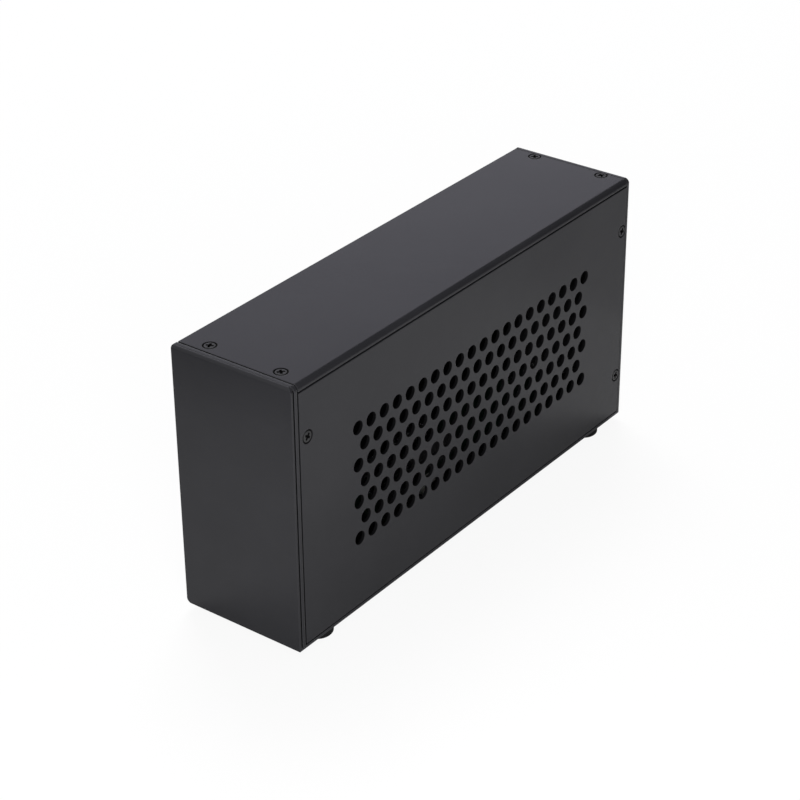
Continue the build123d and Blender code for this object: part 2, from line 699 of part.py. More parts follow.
with BuildPart() as inductors:
    with BuildSketch(Plane.XY.offset(board_top)) as inductor_outline:
        with Locations((INDUCTOR_X, supply_y)):
            with GridLocations(0, supply_pitch, 1, SUPPLY_COUNT):
                Rectangle(INDUCTOR_SIZE, INDUCTOR_SIZE)
        chamfer(inductor_outline.vertices(), length=INDUCTOR_CHAMFER)
    extrude(amount=INDUCTOR_HEIGHT)
inductors.part.label = "inductors"
export_step(inductors.part, "parts/inductors.step")

# Socket at the board's front edge for the card's own power lead
socket_x = CHIP_X + HEATSINK_SIZE / 2 + POWER_SOCKET_GAP + POWER_SOCKET_WIDTH / 2
socket_y = board_front + POWER_SOCKET_INSET
with BuildPart() as card_power_socket:
    with Locations((socket_x, socket_y, board_top)):
        Box(
            POWER_SOCKET_WIDTH,
            POWER_SOCKET_DEPTH,
            POWER_SOCKET_HEIGHT,
            align=(Align.CENTER, Align.MIN, Align.MIN),
        )
    with BuildSketch(Plane.XY.offset(board_top + POWER_SOCKET_HEIGHT)):
        with Locations((socket_x, socket_y + POWER_SOCKET_DEPTH / 2)):
            with GridLocations(POWER_SOCKET_PITCH, POWER_SOCKET_PITCH, POWER_SOCKET_PINS, 2):
                Rectangle(POWER_SOCKET_CAVITY, POWER_SOCKET_CAVITY)
    extrude(amount=-POWER_SOCKET_HEIGHT / 2, mode=Mode.SUBTRACT)
card_power_socket.part.label = "card_power_socket"
export_step(card_power_socket.part, "parts/card_power_socket.step")
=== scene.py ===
import math
import random

import bmesh
import bpy
from mathutils import Matrix, Vector


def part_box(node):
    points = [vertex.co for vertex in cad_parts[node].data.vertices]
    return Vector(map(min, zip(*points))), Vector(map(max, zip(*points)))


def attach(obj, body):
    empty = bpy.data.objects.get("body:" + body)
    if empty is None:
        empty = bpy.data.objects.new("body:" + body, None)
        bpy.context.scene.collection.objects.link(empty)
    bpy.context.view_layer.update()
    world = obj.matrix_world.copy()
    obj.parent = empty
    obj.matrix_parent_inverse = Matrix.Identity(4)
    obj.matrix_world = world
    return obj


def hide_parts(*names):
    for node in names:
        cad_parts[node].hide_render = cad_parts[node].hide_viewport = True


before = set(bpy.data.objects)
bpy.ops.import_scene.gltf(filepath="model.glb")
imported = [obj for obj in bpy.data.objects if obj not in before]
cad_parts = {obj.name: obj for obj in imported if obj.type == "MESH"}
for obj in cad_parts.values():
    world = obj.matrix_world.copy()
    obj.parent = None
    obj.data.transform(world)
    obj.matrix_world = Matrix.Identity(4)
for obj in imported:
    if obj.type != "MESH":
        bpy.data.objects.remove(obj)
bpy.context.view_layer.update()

# Looks of an external graphics card enclosure: satin black sheets, round vents, cross-head screws
# and rubber feet. Lengths of the part are millimetres in the frame of the solids, and vertices are
# scaled to metres as they are made. The studio round the part is in metres.
MM = 0.001
ROUND_STEPS = 48
BEND_STEPS = 10
SMOOTH_ANGLE = math.radians(30.0)
POINT_DIGITS = 4

# Camera, as fitted to the photograph
CAMERA_AZIMUTH = 37.214
CAMERA_ELEVATION = 29.696
CAMERA_ROLL = -0.506
CAMERA_DISTANCE = 1133.9
CAMERA_TARGET = (-4.04, -8.59, 66.30)
CAMERA_LENS = 102.0
CAMERA_SENSOR = 36.0

# Sheets and vents, with the sizes of the solids
SHEET = 1.6
EDGE_EASE = 0.12
BEND_RADIUS = 2.5
BEND_SUPPORT = 0.4
VENT_RADIUS = 3.5
VENT_EASE = 0.12
VENT_PITCH = 10.0
VENT_COLUMNS = 20
VENT_FULL_ROWS = 4
VENT_SHIFT = 1.5
VENT_DROP = 0.8

# Screws and their countersinks
SINK_RADIUS = 3.57
SINK_HOLE = 1.8
CUT_MARGIN = 0.2
HEAD_LAND = 0.6
HEAD_RADIUS = 2.8
HEAD_EASE = 0.15
SHANK_RADIUS = 1.5
THREAD_ROOT = 1.22
THREAD_PITCH = 0.5
SCREW_LENGTH = 7.0
CROSS_REACH = 1.9
CROSS_HALF = 0.62
CROSS_FLOOR_REACH = 1.1
CROSS_FLOOR_HALF = 0.4
CROSS_DEPTH = 1.3
TOP_SCREW_SPREAD = 41.6
FRONT_SCREW_INSET = 10.5
REAR_SCREW_INSET = 5.0
UPPER_SCREW_DROP = 28.3
LOWER_SCREW_RISE = 25.5
TOP_SCREW_SEED = 3
RIGHT_SCREW_SEED = 5
LEFT_SCREW_SEED = 8

# Feet, and the black cords that put painted shade into the seams behind the front wall
FOOT_RADIUS = 8.0
FOOT_ROUND = 0.9
FRONT_SEAM = 0.85
SHADE_CORD_PLAY = 0.02
SHADE_CORD_DEPTH = 0.5

# Material indices of a piece: its outside, and its faces in shade, which get a near-black material
# as painted shade
OUTSIDE = 0
SHADED = 1


def millimetres(node):
    """Lowest and highest corner of a solid in millimetres."""
    low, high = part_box(node)
    return Vector(low) / MM, Vector(high) / MM


case_low, case_high = millimetres("chassis")
cover_low, cover_high = millimetres("top_cover")
right_low, right_high = millimetres("right_side_panel")
left_low, left_high = millimetres("left_side_panel")
feet_low, feet_high = millimetres("feet")
front = millimetres("front_fascia")[0].y
rear = case_high.y
right = case_high.x
top = case_high.z
bottom = case_low.z
front_screw_y = front + FRONT_SCREW_INSET
rear_screw_y = rear - REAR_SCREW_INSET
upper_screw_z = top - UPPER_SCREW_DROP
lower_screw_z = bottom + LOWER_SCREW_RISE
side_screws = [
    (front_screw_y, upper_screw_z), (rear_screw_y, upper_screw_z), (rear_screw_y, lower_screw_z),
]
top_screws = [
    (y, x)
    for y in (front_screw_y, rear_screw_y)
    for x in (-TOP_SCREW_SPREAD / 2, TOP_SCREW_SPREAD / 2)
]


class Shape:
    """A mesh under construction, in which points at the same place are one vertex."""

    def __init__(self):
        self.bm = bmesh.new()
        self.known = {}

    def vertex(self, point):
        key = tuple(round(value, POINT_DIGITS) for value in point)
        if key not in self.known:
            self.known[key] = self.bm.verts.new(Vector(point) * MM)
        return self.known[key]

    def loop(self, points):
        return [self.vertex(point) for point in points]

    def face(self, loop, material=OUTSIDE):
        """Add a face, unless too few of its corners differ."""
        corners = [corner for index, corner in enumerate(loop) if corner is not loop[index - 1]]
        if len(corners) > 2:
            face = self.bm.faces.new(corners)
            face.material_index = material

    def bridge(self, near, far, material=OUTSIDE, skip=()):
        """Join two closed loops of the same length with a band of faces."""
        count = len(near)
        for index in range(count):
            if index not in skip:
                after = (index + 1) % count
                self.face([near[index], near[after], far[after], far[index]], material)

    def fill(self, loops, material=OUTSIDE):
        """Fill a flat outline, the first loop, round the holes that the other loops make."""
        edges = []
        for loop in loops:
            for index, corner in enumerate(loop):
                pair = (corner, loop[index - 1])
                edges.append(self.bm.edges.get(pair) or self.bm.edges.new(pair))
        made = bmesh.ops.triangle_fill(
            self.bm, use_beauty=True, use_dissolve=False, edges=edges,
        )
        for item in made["geom"]:
            if isinstance(item, bmesh.types.BMFace):
                item.material_index = material

    def to_object(self, name, materials):
        """Turn the shape into an object."""
        bmesh.ops.recalc_face_normals(self.bm, faces=self.bm.faces[:])
        for face in self.bm.faces:
            face.smooth = True
        mesh = bpy.data.meshes.new(name)
        self.bm.to_mesh(mesh)
        self.bm.free()
        mesh.set_sharp_from_angle(angle=SMOOTH_ANGLE)
        for material in materials:
            mesh.materials.append(material)
        piece = bpy.data.objects.new(name, mesh)
        bpy.context.scene.collection.objects.link(piece)
        return piece


def declare(piece, slot, *nodes):
    """Let a piece ride on the enclosure and stand for the nodes, if there are any."""
    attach(piece, "enclosure")
    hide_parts(*nodes)


def cut_away(piece, cutter):
    """Cut one object out of another and delete it."""
    boolean = piece.modifiers.new("cut", "BOOLEAN")
    boolean.operation = "DIFFERENCE"
    boolean.solver = "EXACT"
    boolean.object = cutter
    evaluated = piece.evaluated_get(bpy.context.evaluated_depsgraph_get())
    mesh = bpy.data.meshes.new_from_object(evaluated)
    piece.modifiers.clear()
    piece.data = mesh
    mesh.set_sharp_from_angle(angle=SMOOTH_ANGLE)
    bpy.data.objects.remove(cutter)


def ring(u, v, radius):
    """Points of a circle in a plane, as pairs."""
    angles = [2 * math.pi * step / ROUND_STEPS for step in range(ROUND_STEPS)]
    return [(u + radius * math.cos(angle), v + radius * math.sin(angle)) for angle in angles]


# Procedural materials: where the noise, the mask of the painted highlight on edges and the mask of
# the painted shade in narrow gaps begin and end, and the sockets of a colour mix
NOISE_START = 0.3
NOISE_END = 0.7
PATCH_DETAIL = 3.0
GRAIN_DETAIL = 2.0
BEVEL_SAMPLES = 6
EDGE_START = 0.8
EDGE_END = 0.995
GAP_SHADE_REACH = 2.0
GAP_SHADE_SAMPLES = 8
GAP_SHADE_START = 0.4
GAP_SHADE_END = 0.9
MIX_FACTOR = 0
MIX_COLOURS = (6, 7)
MIX_RESULT = 2
UNSTRETCHED = (1, 1, 1)


def add_node(tree, kind, **settings):
    node = tree.nodes.new(kind)
    for name, value in settings.items():
        setattr(node, name, value)
    return node


def add_noise(tree, coordinates, scale, detail):
    noise = add_node(tree, "ShaderNodeTexNoise")
    noise.inputs["Scale"].default_value = scale
    noise.inputs["Detail"].default_value = detail
    tree.links.new(coordinates, noise.inputs["Vector"])
    return noise.outputs["Fac"]


def add_range(tree, value, low, high, start=NOISE_START, end=NOISE_END):
    """Spread a value between start and end over low to high."""
    spread = add_node(tree, "ShaderNodeMapRange")
    spread.inputs["From Min"].default_value = start
    spread.inputs["From Max"].default_value = end
    spread.inputs["To Min"].default_value = low
    spread.inputs["To Max"].default_value = high
    tree.links.new(value, spread.inputs["Value"])
    return spread.outputs["Result"]


def add_mix(tree, factor, *colours):
    """Mix two colours, each a plain colour or the output of a node."""
    mix = add_node(tree, "ShaderNodeMix", data_type="RGBA")
    for index, colour in zip(MIX_COLOURS, colours):
        if isinstance(colour, tuple):
            mix.inputs[index].default_value = (*colour, 1.0)
        else:
            tree.links.new(colour, mix.inputs[index])
    tree.links.new(factor, mix.inputs[MIX_FACTOR])
    return mix.outputs[MIX_RESULT]


def surface(name, colours, rough, grain, bump=0.1, bump_depth=0.02, metallic=0.0, specular=0.5,
            patch=60.0, stretch=UNSTRETCHED, edge=None, edge_radius=0.3, painted_gap_shade=None):
    """A material with patchy colour, uneven gloss and a fine grain.

    edge is the colour that its edges turn to, a painted highlight on the black coating and the
    screws, and crevice the colour of the painted shade in its narrow gaps.
    """
    material = bpy.data.materials.new(name)
    material.use_nodes = True
    tree = material.node_tree
    shader = tree.nodes["Principled BSDF"]
    place = add_node(tree, "ShaderNodeTexCoord").outputs["Object"]
    if stretch != UNSTRETCHED:
        mapping = add_node(tree, "ShaderNodeMapping")
        mapping.inputs["Scale"].default_value = stretch
        tree.links.new(place, mapping.inputs["Vector"])
        place = mapping.outputs["Vector"]
    patches = add_noise(tree, place, patch, PATCH_DETAIL)
    grains = add_noise(tree, place, grain, GRAIN_DETAIL)
    colour = add_mix(tree, add_range(tree, patches, 0.0, 1.0), *colours)
    bevel = add_node(tree, "ShaderNodeBevel", samples=BEVEL_SAMPLES)
    bevel.inputs["Radius"].default_value = edge_radius * MM
    # Painted highlight: the colour turns lighter along edges, where the bevel's rounded normal
    # leaves the face's normal
    if edge:
        geometry = add_node(tree, "ShaderNodeNewGeometry")
        turn = add_node(tree, "ShaderNodeVectorMath", operation="DOT_PRODUCT")
        tree.links.new(bevel.outputs["Normal"], turn.inputs[0])
        tree.links.new(geometry.outputs["Normal"], turn.inputs[1])
        edge_tint_share = add_range(tree, turn.outputs["Value"], 1.0, 0.0, EDGE_START, EDGE_END)
        colour = add_mix(tree, edge_tint_share, colour, edge)
    # Painted shade: the colour turns darker in narrow gaps, by ambient occlusion over a short reach
    if painted_gap_shade:
        gap_occlusion = add_node(tree, "ShaderNodeAmbientOcclusion", samples=GAP_SHADE_SAMPLES)
        gap_occlusion.inputs["Distance"].default_value = GAP_SHADE_REACH * MM
        unshaded_share = add_range(tree, gap_occlusion.outputs["AO"], 0.0, 1.0, GAP_SHADE_START, GAP_SHADE_END)
        colour = add_mix(tree, unshaded_share, painted_gap_shade, colour)
    tree.links.new(colour, shader.inputs["Base Color"])
    tree.links.new(add_range(tree, grains, *rough), shader.inputs["Roughness"])
    raised = add_node(tree, "ShaderNodeBump")
    raised.inputs["Strength"].default_value = bump
    raised.inputs["Distance"].default_value = bump_depth * MM
    tree.links.new(grains, raised.inputs["Height"])
    tree.links.new(bevel.outputs["Normal"], raised.inputs["Normal"])
    tree.links.new(raised.outputs["Normal"], shader.inputs["Normal"])
    shader.inputs["Metallic"].default_value = metallic
    shader.inputs["Specular IOR Level"].default_value = specular
    return material


COATING = {
    "colours": [(0.0165, 0.0165, 0.0188), (0.0195, 0.0195, 0.0221)],
    "rough": (0.2, 0.27),
    "grain": 2600.0,
    "bump": 0.25,
    "bump_depth": 0.03,
    "specular": 0.13,
    "patch": 22.0,
}
# Painted highlight along the edges of the coating
coated_sheet = surface("coated_sheet", **COATING, edge=(0.04, 0.04, 0.044), edge_radius=0.45)
# The chassis gets a brighter painted highlight along its edges and painted shade in its narrow gaps
coated_chassis = surface(
    "coated_chassis", **COATING, edge=(0.05, 0.05, 0.055), edge_radius=0.8,
    painted_gap_shade=(0.002, 0.002, 0.0022),
)
# Painted shade: a near-black copy of the coating for the vent and countersink walls, the inner
# faces and the side panels' ends
coated_painted_shade = surface(
    "coated_painted_shade", colours=[(0.003, 0.003, 0.0033), (0.005, 0.005, 0.0055)],
    rough=(0.6, 0.75), grain=1800.0, specular=0.06, patch=90.0,
)
# Painted highlight along the edges of the screws
black_screw = surface(
    "black_screw", colours=[(0.016, 0.016, 0.017), (0.024, 0.024, 0.025)],
    rough=(0.32, 0.44), grain=1500.0, metallic=0.2, specular=0.2, patch=300.0,
    edge=(0.06, 0.06, 0.063), edge_radius=0.12,
)
# Painted shade: a near-black copy of the screw finish for the cross recesses
screw_painted_shade = surface(
    "screw_painted_shade", colours=[(0.0015, 0.0015, 0.0016), (0.003, 0.003, 0.0032)],
    rough=(0.6, 0.75), grain=1500.0, specular=0.05, patch=400.0,
)
foot_rubber = surface(
    "foot_rubber", colours=[(0.004, 0.004, 0.0043), (0.007, 0.007, 0.0073)],
    rough=(0.62, 0.8), grain=900.0, bump=0.4, bump_depth=0.05, specular=0.12, patch=160.0,
)
bonding_tape = surface(
    "bonding_tape", colours=[(0.004, 0.004, 0.004), (0.007, 0.007, 0.007)],
    rough=(0.7, 0.85), grain=1200.0, specular=0.15,
)
block_aluminium = surface(
    "block_aluminium", colours=[(0.42, 0.43, 0.45), (0.52, 0.53, 0.55)],
    rough=(0.28, 0.42), grain=900.0, bump=0.15, metallic=1.0, stretch=(1, 8, 1),
    edge=(0.7, 0.7, 0.72),
)
plated_steel = surface(
    "plated_steel", colours=[(0.40, 0.40, 0.42), (0.52, 0.52, 0.53)],
    rough=(0.3, 0.45), grain=700.0, bump=0.12, metallic=1.0, stretch=(6, 1, 1),
    edge=(0.66, 0.66, 0.68),
)
connector_plastic = surface(
    "connector_plastic", colours=[(0.010, 0.010, 0.011), (0.016, 0.016, 0.017)],
    rough=(0.42, 0.55), grain=1400.0, bump=0.15, edge=(0.03, 0.03, 0.032),
)
latch_plastic = surface(
    "latch_plastic", colours=[(0.34, 0.34, 0.32), (0.41, 0.41, 0.39)],
    rough=(0.45, 0.58), grain=1400.0, bump=0.15, edge=(0.55, 0.55, 0.53),
)
button_plastic = surface(
    "button_plastic", colours=[(0.012, 0.012, 0.013), (0.018, 0.018, 0.019)],
    rough=(0.22, 0.32), grain=1800.0, bump=0.08, edge=(0.05, 0.05, 0.052),
)
chip_resin = surface(
    "chip_resin", colours=[(0.014, 0.014, 0.015), (0.02, 0.02, 0.021)],
    rough=(0.5, 0.65), grain=2200.0, bump=0.3, edge=(0.05, 0.05, 0.052),
)
heatsink_aluminium = surface(
    "heatsink_aluminium", colours=[(0.30, 0.31, 0.33), (0.40, 0.41, 0.43)],
    rough=(0.3, 0.42), grain=800.0, bump=0.2, metallic=1.0, stretch=(1, 0.08, 1),
    edge=(0.6, 0.6, 0.62),
)
capacitor_can = surface(
    "capacitor_can", colours=[(0.44, 0.44, 0.46), (0.55, 0.55, 0.57)],
    rough=(0.22, 0.34), grain=600.0, bump=0.1, metallic=1.0, stretch=(1, 1, 0.1),
    edge=(0.72, 0.72, 0.74),
)
ferrite = surface(
    "ferrite", colours=[(0.035, 0.035, 0.037), (0.06, 0.06, 0.062)],
    rough=(0.5, 0.7), grain=1000.0, bump=0.5, bump_depth=0.05, edge=(0.1, 0.1, 0.1),
)
circuit_board = surface(
    "circuit_board", colours=[(0.008, 0.02, 0.014), (0.014, 0.034, 0.024)],
    rough=(0.28, 0.42), grain=600.0, bump=0.2, patch=420.0, edge=(0.25, 0.22, 0.12),
)

# Sheets: a section of (across, out) points is swept along the box, and its two flats are filled
# round the holes. A hole is (y, across, wall), with its wall as (radius, out) from the outside in.
# The outer flat starts at the same point of each section, and the inner flat closes it.
OUTER_FLAT = 2


def flat_section(low, high, at_end):
    """Section of a flat sheet, with its outer edges eased."""
    inset = 0.0 if at_end else EDGE_EASE
    rise = EDGE_EASE if at_end else 0.0
    return [
        (low, -SHEET), (low, -EDGE_EASE), (low + inset, -rise),
        (high - inset, -rise), (high, -EDGE_EASE), (high, -SHEET),
    ]


def arc(across, out, radius, start, end):
    """Points of an arc of a section, by angles in degrees."""
    degrees = [start + (end - start) * step / BEND_STEPS for step in range(BEND_STEPS + 1)]
    return [
        (across + radius * math.cos(angle), out + radius * math.sin(angle))
        for angle in map(math.radians, degrees)
    ]


def cover_section(low, high, lip, at_end):
    """Section of the top cover: flat from its left edge, then folded down into the lip.

    A point beside the bend, outside and inside, keeps the bend's shading off the flats.
    """
    inset = 0.0 if at_end else EDGE_EASE
    rise = EDGE_EASE if at_end else 0.0
    bend = high - BEND_RADIUS
    return [
        (low, -SHEET), (low, -EDGE_EASE), (low + inset, -rise), (bend - BEND_SUPPORT, -rise),
        *arc(bend, -BEND_RADIUS, BEND_RADIUS - rise, 90.0, 0.0),
        (high - rise, -lip + inset), (high - EDGE_EASE, -lip), (high - SHEET, -lip),
        *arc(bend, -BEND_RADIUS, BEND_RADIUS - SHEET, 0.0, 90.0),
        (bend - BEND_SUPPORT, -SHEET),
    ]


def hole_loops(shape, place, y, across, wall):
    """Loops of a hole's wall."""
    return [
        shape.loop([place(u, v, out) for u, v in ring(y, across, radius)]) for radius, out in wall
    ]


def breaks_out(hole, far):
    """Whether the outer rim of a hole passes the far end of its sheet."""
    y, _, wall = hole
    return y + wall[0][0] > far


def sink_cutter(name, sinks, place):
    """Cones that are longer than the sheet is thick, one for each countersink."""
    shape = Shape()
    for y, across, ((outer, _), (inner, _)) in sinks:
        flare = (outer - inner) / SHEET * CUT_MARGIN
        wall = [(outer + flare, CUT_MARGIN), (inner - flare, -SHEET - CUT_MARGIN)]
        loops = hole_loops(shape, place, y, across, wall)
        shape.bridge(*loops, SHADED)
        for loop in loops:
            shape.face(loop, SHADED)
    return shape.to_object(name, [coated_sheet, coated_painted_shade])


def sheet_piece(name, node, section, span, holes, place, end_material=OUTSIDE):
    """Build a sheet from its section, which is lower at the two ends of its span.

    A countersink that breaks out at the far end is cut afterwards.
    """
    near, far = span
    middle, end = section(False), section(True)
    flats = [(OUTER_FLAT, OUTSIDE), (len(middle) - 1, SHADED)]
    rows = [(end, near), (middle, near + EDGE_EASE), (middle, far - EDGE_EASE), (end, far)]
    shape = Shape()
    rings = [shape.loop([place(y, across, out) for across, out in row]) for row, y in rows]
    shape.bridge(rings[0], rings[1])
    shape.bridge(rings[1], rings[2], skip=[index for index, _ in flats])
    shape.bridge(rings[2], rings[3])
    for loop in (rings[0], rings[-1]):
        shape.face(loop, end_material)
    broken = [hole for hole in holes if breaks_out(hole, far)]
    walls = [hole_loops(shape, place, *hole) for hole in holes if hole not in broken]
    for loops in walls:
        for outer, inner in zip(loops, loops[1:]):
            shape.bridge(outer, inner, SHADED)
    for (index, material), rim in zip(flats, (0, -1)):
        after = (index + 1) % len(middle)
        outline = [rings[1][index], rings[1][after], rings[2][after], rings[2][index]]
        shape.fill([outline, *(loops[rim] for loops in walls)], material)
    piece = shape.to_object(name, [coated_sheet, coated_painted_shade])
    cut_away(piece, sink_cutter(name + "_cutter", broken, place))
    declare(piece, "coated_sheet", node)


vent_wall = [(VENT_RADIUS + VENT_EASE, 0.0), (VENT_RADIUS, -VENT_EASE), (VENT_RADIUS, -SHEET)]
sink_wall = [(SINK_RADIUS, 0.0), (SINK_HOLE, -SHEET)]
vent_y = (right_low.y + right_high.y) / 2 + VENT_SHIFT
vent_z = (bottom + top) / 2 - VENT_DROP
vents = []
for row in range(2 * VENT_FULL_ROWS - 1):
    columns = VENT_COLUMNS - row % 2
    z = vent_z + (row - VENT_FULL_ROWS + 1) * VENT_PITCH
    for column in range(columns):
        vents.append((vent_y + (column - (columns - 1) / 2) * VENT_PITCH, z, vent_wall))
side_sinks = [(y, z, sink_wall) for y, z in side_screws]
top_sinks = [(y, x, sink_wall) for y, x in top_screws]
lip_depth = cover_high.z - cover_low.z

sheet_piece(
    "vented_side", "right_side_panel",
    lambda at_end: flat_section(right_low.z, right_high.z, at_end),
    (right_low.y, right_high.y), vents + side_sinks,
    lambda y, z, out: (right + out, y, z), end_material=SHADED,
)
sheet_piece(
    "closed_side", "left_side_panel",
    lambda at_end: flat_section(left_low.z, left_high.z, at_end),
    (left_low.y, left_high.y), side_sinks,
    lambda y, z, out: (-right - out, y, z), end_material=SHADED,
)
sheet_piece(
    "folded_cover", "top_cover",
    lambda at_end: cover_section(cover_low.x, cover_high.x, lip_depth, at_end),
    (cover_low.y, cover_high.y), top_sinks,
    lambda y, x, out: (x, y, top + out),
)


# Countersunk cross-head screws
def cross_points(reach, half):
    """Outline of a cross with square ends."""
    quarter = [(reach, -half), (reach, half), (half, half)]
    turns = [(1, 0, 0, 1), (0, -1, 1, 0), (-1, 0, 0, -1), (0, 1, -1, 0)]
    return [(a * x + b * y, c * x + d * y) for a, b, c, d in turns for x, y in quarter]


def add_screw(shape, screw_frame):
    """Add one screw whose frame lies on the sheet's outside, with Z out of the sheet."""
    def loop(points, out):
        return shape.loop([screw_frame @ Vector((x, y, out)) for x, y in points])

    rows = [
        (HEAD_RADIUS - HEAD_EASE, 0.0), (HEAD_RADIUS, -HEAD_EASE), (HEAD_RADIUS, -HEAD_LAND),
        (SINK_HOLE, -SHEET), (SHANK_RADIUS, -SHEET),
    ]
    depth = -SHEET
    while depth - THREAD_PITCH > -SCREW_LENGTH:
        rows.append((THREAD_ROOT, depth - THREAD_PITCH / 2))
        rows.append((SHANK_RADIUS, depth - THREAD_PITCH))
        depth -= THREAD_PITCH
    rows.append((THREAD_ROOT, -SCREW_LENGTH))
    loops = [loop(ring(0, 0, radius), out) for radius, out in rows]
    for near, far in zip(loops, loops[1:]):
        shape.bridge(near, far)
    shape.face(loops[-1])
    mouth = loop(cross_points(CROSS_REACH, CROSS_HALF), 0.0)
    floor = loop(cross_points(CROSS_FLOOR_REACH, CROSS_FLOOR_HALF), -CROSS_DEPTH)
    shape.bridge(mouth, floor, SHADED)
    shape.face(floor, SHADED)
    shape.fill([loops[0], mouth])


def screw_piece(name, node, places, axes, seed):
    """Build a group of screws, each turned to its own angle as if tightened by hand."""
    shape = Shape()
    draws = random.Random(seed)
    for place in places:
        turn = Matrix.Rotation(draws.uniform(0, math.pi / 2), 4, "Z")
        add_screw(shape, Matrix.Translation(place) @ axes @ turn)
    declare(shape.to_object(name, [black_screw, screw_painted_shade]), "black_screw", node)


screw_piece(
    "cover_screws", "top_screws", [(x, y, top) for y, x in top_screws],
    Matrix.Identity(4), TOP_SCREW_SEED,
)
screw_piece(
    "vented_side_screws", "right_side_screws", [(right, y, z) for y, z in side_screws],
    Matrix.Rotation(math.pi / 2, 4, "Y"), RIGHT_SCREW_SEED,
)
screw_piece(
    "closed_side_screws", "left_side_screws", [(-right, y, z) for y, z in side_screws],
    Matrix.Rotation(-math.pi / 2, 4, "Y"), LEFT_SCREW_SEED,
)

# Moulded rubber feet with rounded treads
foot_height = feet_high.z - feet_low.z
tread = [
    (FOOT_RADIUS - FOOT_ROUND + across, FOOT_ROUND + out)
    for across, out in arc(0.0, 0.0, FOOT_ROUND, 0.0, -90.0)
]
foot_profile = [(FOOT_RADIUS, foot_height), *tread]
feet_shape = Shape()
for foot_x in (feet_low.x + FOOT_RADIUS, feet_high.x - FOOT_RADIUS):
    for foot_y in (feet_low.y + FOOT_RADIUS, feet_high.y - FOOT_RADIUS):
        foot_loops = [
            feet_shape.loop([(x, y, feet_low.z + z) for x, y in ring(foot_x, foot_y, radius)])
            for radius, z in foot_profile
        ]
        for upper, lower in zip(foot_loops, foot_loops[1:]):
            feet_shape.bridge(upper, lower)
        feet_shape.face(foot_loops[0])
        feet_shape.face(foot_loops[-1])
declare(feet_shape.to_object("rubber_feet", [foot_rubber]), "foot_rubber", "feet")

# Black cords in the seams behind the front wall, pressed in beside the sheets and lying on the
# screw blocks: painted shade that keeps the seams dark over the light blocks
shade_cord_y = cover_low.y - FRONT_SEAM / 2
shade_cord_half = FRONT_SEAM / 2 - SHADE_CORD_PLAY
shade_cord_section = [
    (-shade_cord_half, -SHEET),
    *arc(0.0, -SHADE_CORD_DEPTH - shade_cord_half, shade_cord_half, 180.0, 0.0),
    (shade_cord_half, -SHEET),
]
shade_cords_shape = Shape()


def add_shade_cord(start, end, place):
    """Add a straight cord, from start to end along its seam."""
    loops = [
        shade_cords_shape.loop([place(along, shade_cord_y + across, out) for across, out in shade_cord_section])
        for along in (start, end)
    ]
    shade_cords_shape.bridge(*loops)
    for loop in loops:
        shade_cords_shape.face(loop)


add_shade_cord(cover_low.x, cover_high.x - BEND_RADIUS, lambda x, y, out: (x, y, top + out))
add_shade_cord(right_low.z, cover_high.z - BEND_RADIUS, lambda z, y, out: (right + out, y, z))
add_shade_cord(left_low.z, left_high.z, lambda z, y, out: (-right - out, y, z))
# The cords take the black of the bonding tape as painted shade in the seams
declare(shade_cords_shape.to_object("seam_shade_cords", [bonding_tape]), "bonding_tape")

# Solids that are shown as they are
carried = {
    "chassis": coated_chassis,
    "front_fascia": coated_sheet,
    "fascia_tape": bonding_tape,
    "front_screw_blocks": block_aluminium,
    "rear_screw_blocks": block_aluminium,
    "slot_frame": coated_sheet,
    "slot_blanks": connector_plastic,
    "interface_board": circuit_board,
    "board_standoffs": plated_steel,
    "board_screws": plated_steel,
    "card_slot": connector_plastic,
    "slot_latch": latch_plastic,
    "host_port": plated_steel,
    "power_inlet": connector_plastic,
    "button_switch": connector_plastic,
    "power_button": button_plastic,
    "controller_chip": chip_resin,
    "controller_heatsink": heatsink_aluminium,
    "capacitors": capacitor_can,
    "inductors": ferrite,
    "card_power_socket": connector_plastic,
}
for node, material in carried.items():
    for material_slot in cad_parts[node].material_slots:
        material_slot.material = material

# Pale floor: white to the camera, with the shadow of the object left on it
FLOOR_HALF = 6.0
FLOOR_ALBEDO = 0.86
FLOOR_GLOW = 0.9
WORLD_FILL = 0.35


def level_corners(low, high, height):
    """Corners of a level rectangle between two corners, given as (x, y)."""
    return [
        (low[0], low[1], height), (high[0], low[1], height),
        (high[0], high[1], height), (low[0], high[1], height),
    ]


def flat_object(name, corners, material):
    """An object with one flat face."""
    mesh = bpy.data.meshes.new(name)
    mesh.from_pydata(corners, [], [range(len(corners))])
    mesh.materials.append(material)
    made = bpy.data.objects.new(name, mesh)
    bpy.context.scene.collection.objects.link(made)
    return made


def seen_rays(tree):
    """One for rays that show the background, straight from the camera or in gloss and glass."""
    path = add_node(tree, "ShaderNodeLightPath")
    shown = path.outputs["Is Camera Ray"]
    for name in ("Is Glossy Ray", "Is Transmission Ray"):
        either = add_node(tree, "ShaderNodeMath", operation="MAXIMUM")
        tree.links.new(shown, either.inputs[0])
        tree.links.new(path.outputs[name], either.inputs[1])
        shown = either.outputs[0]
    return shown


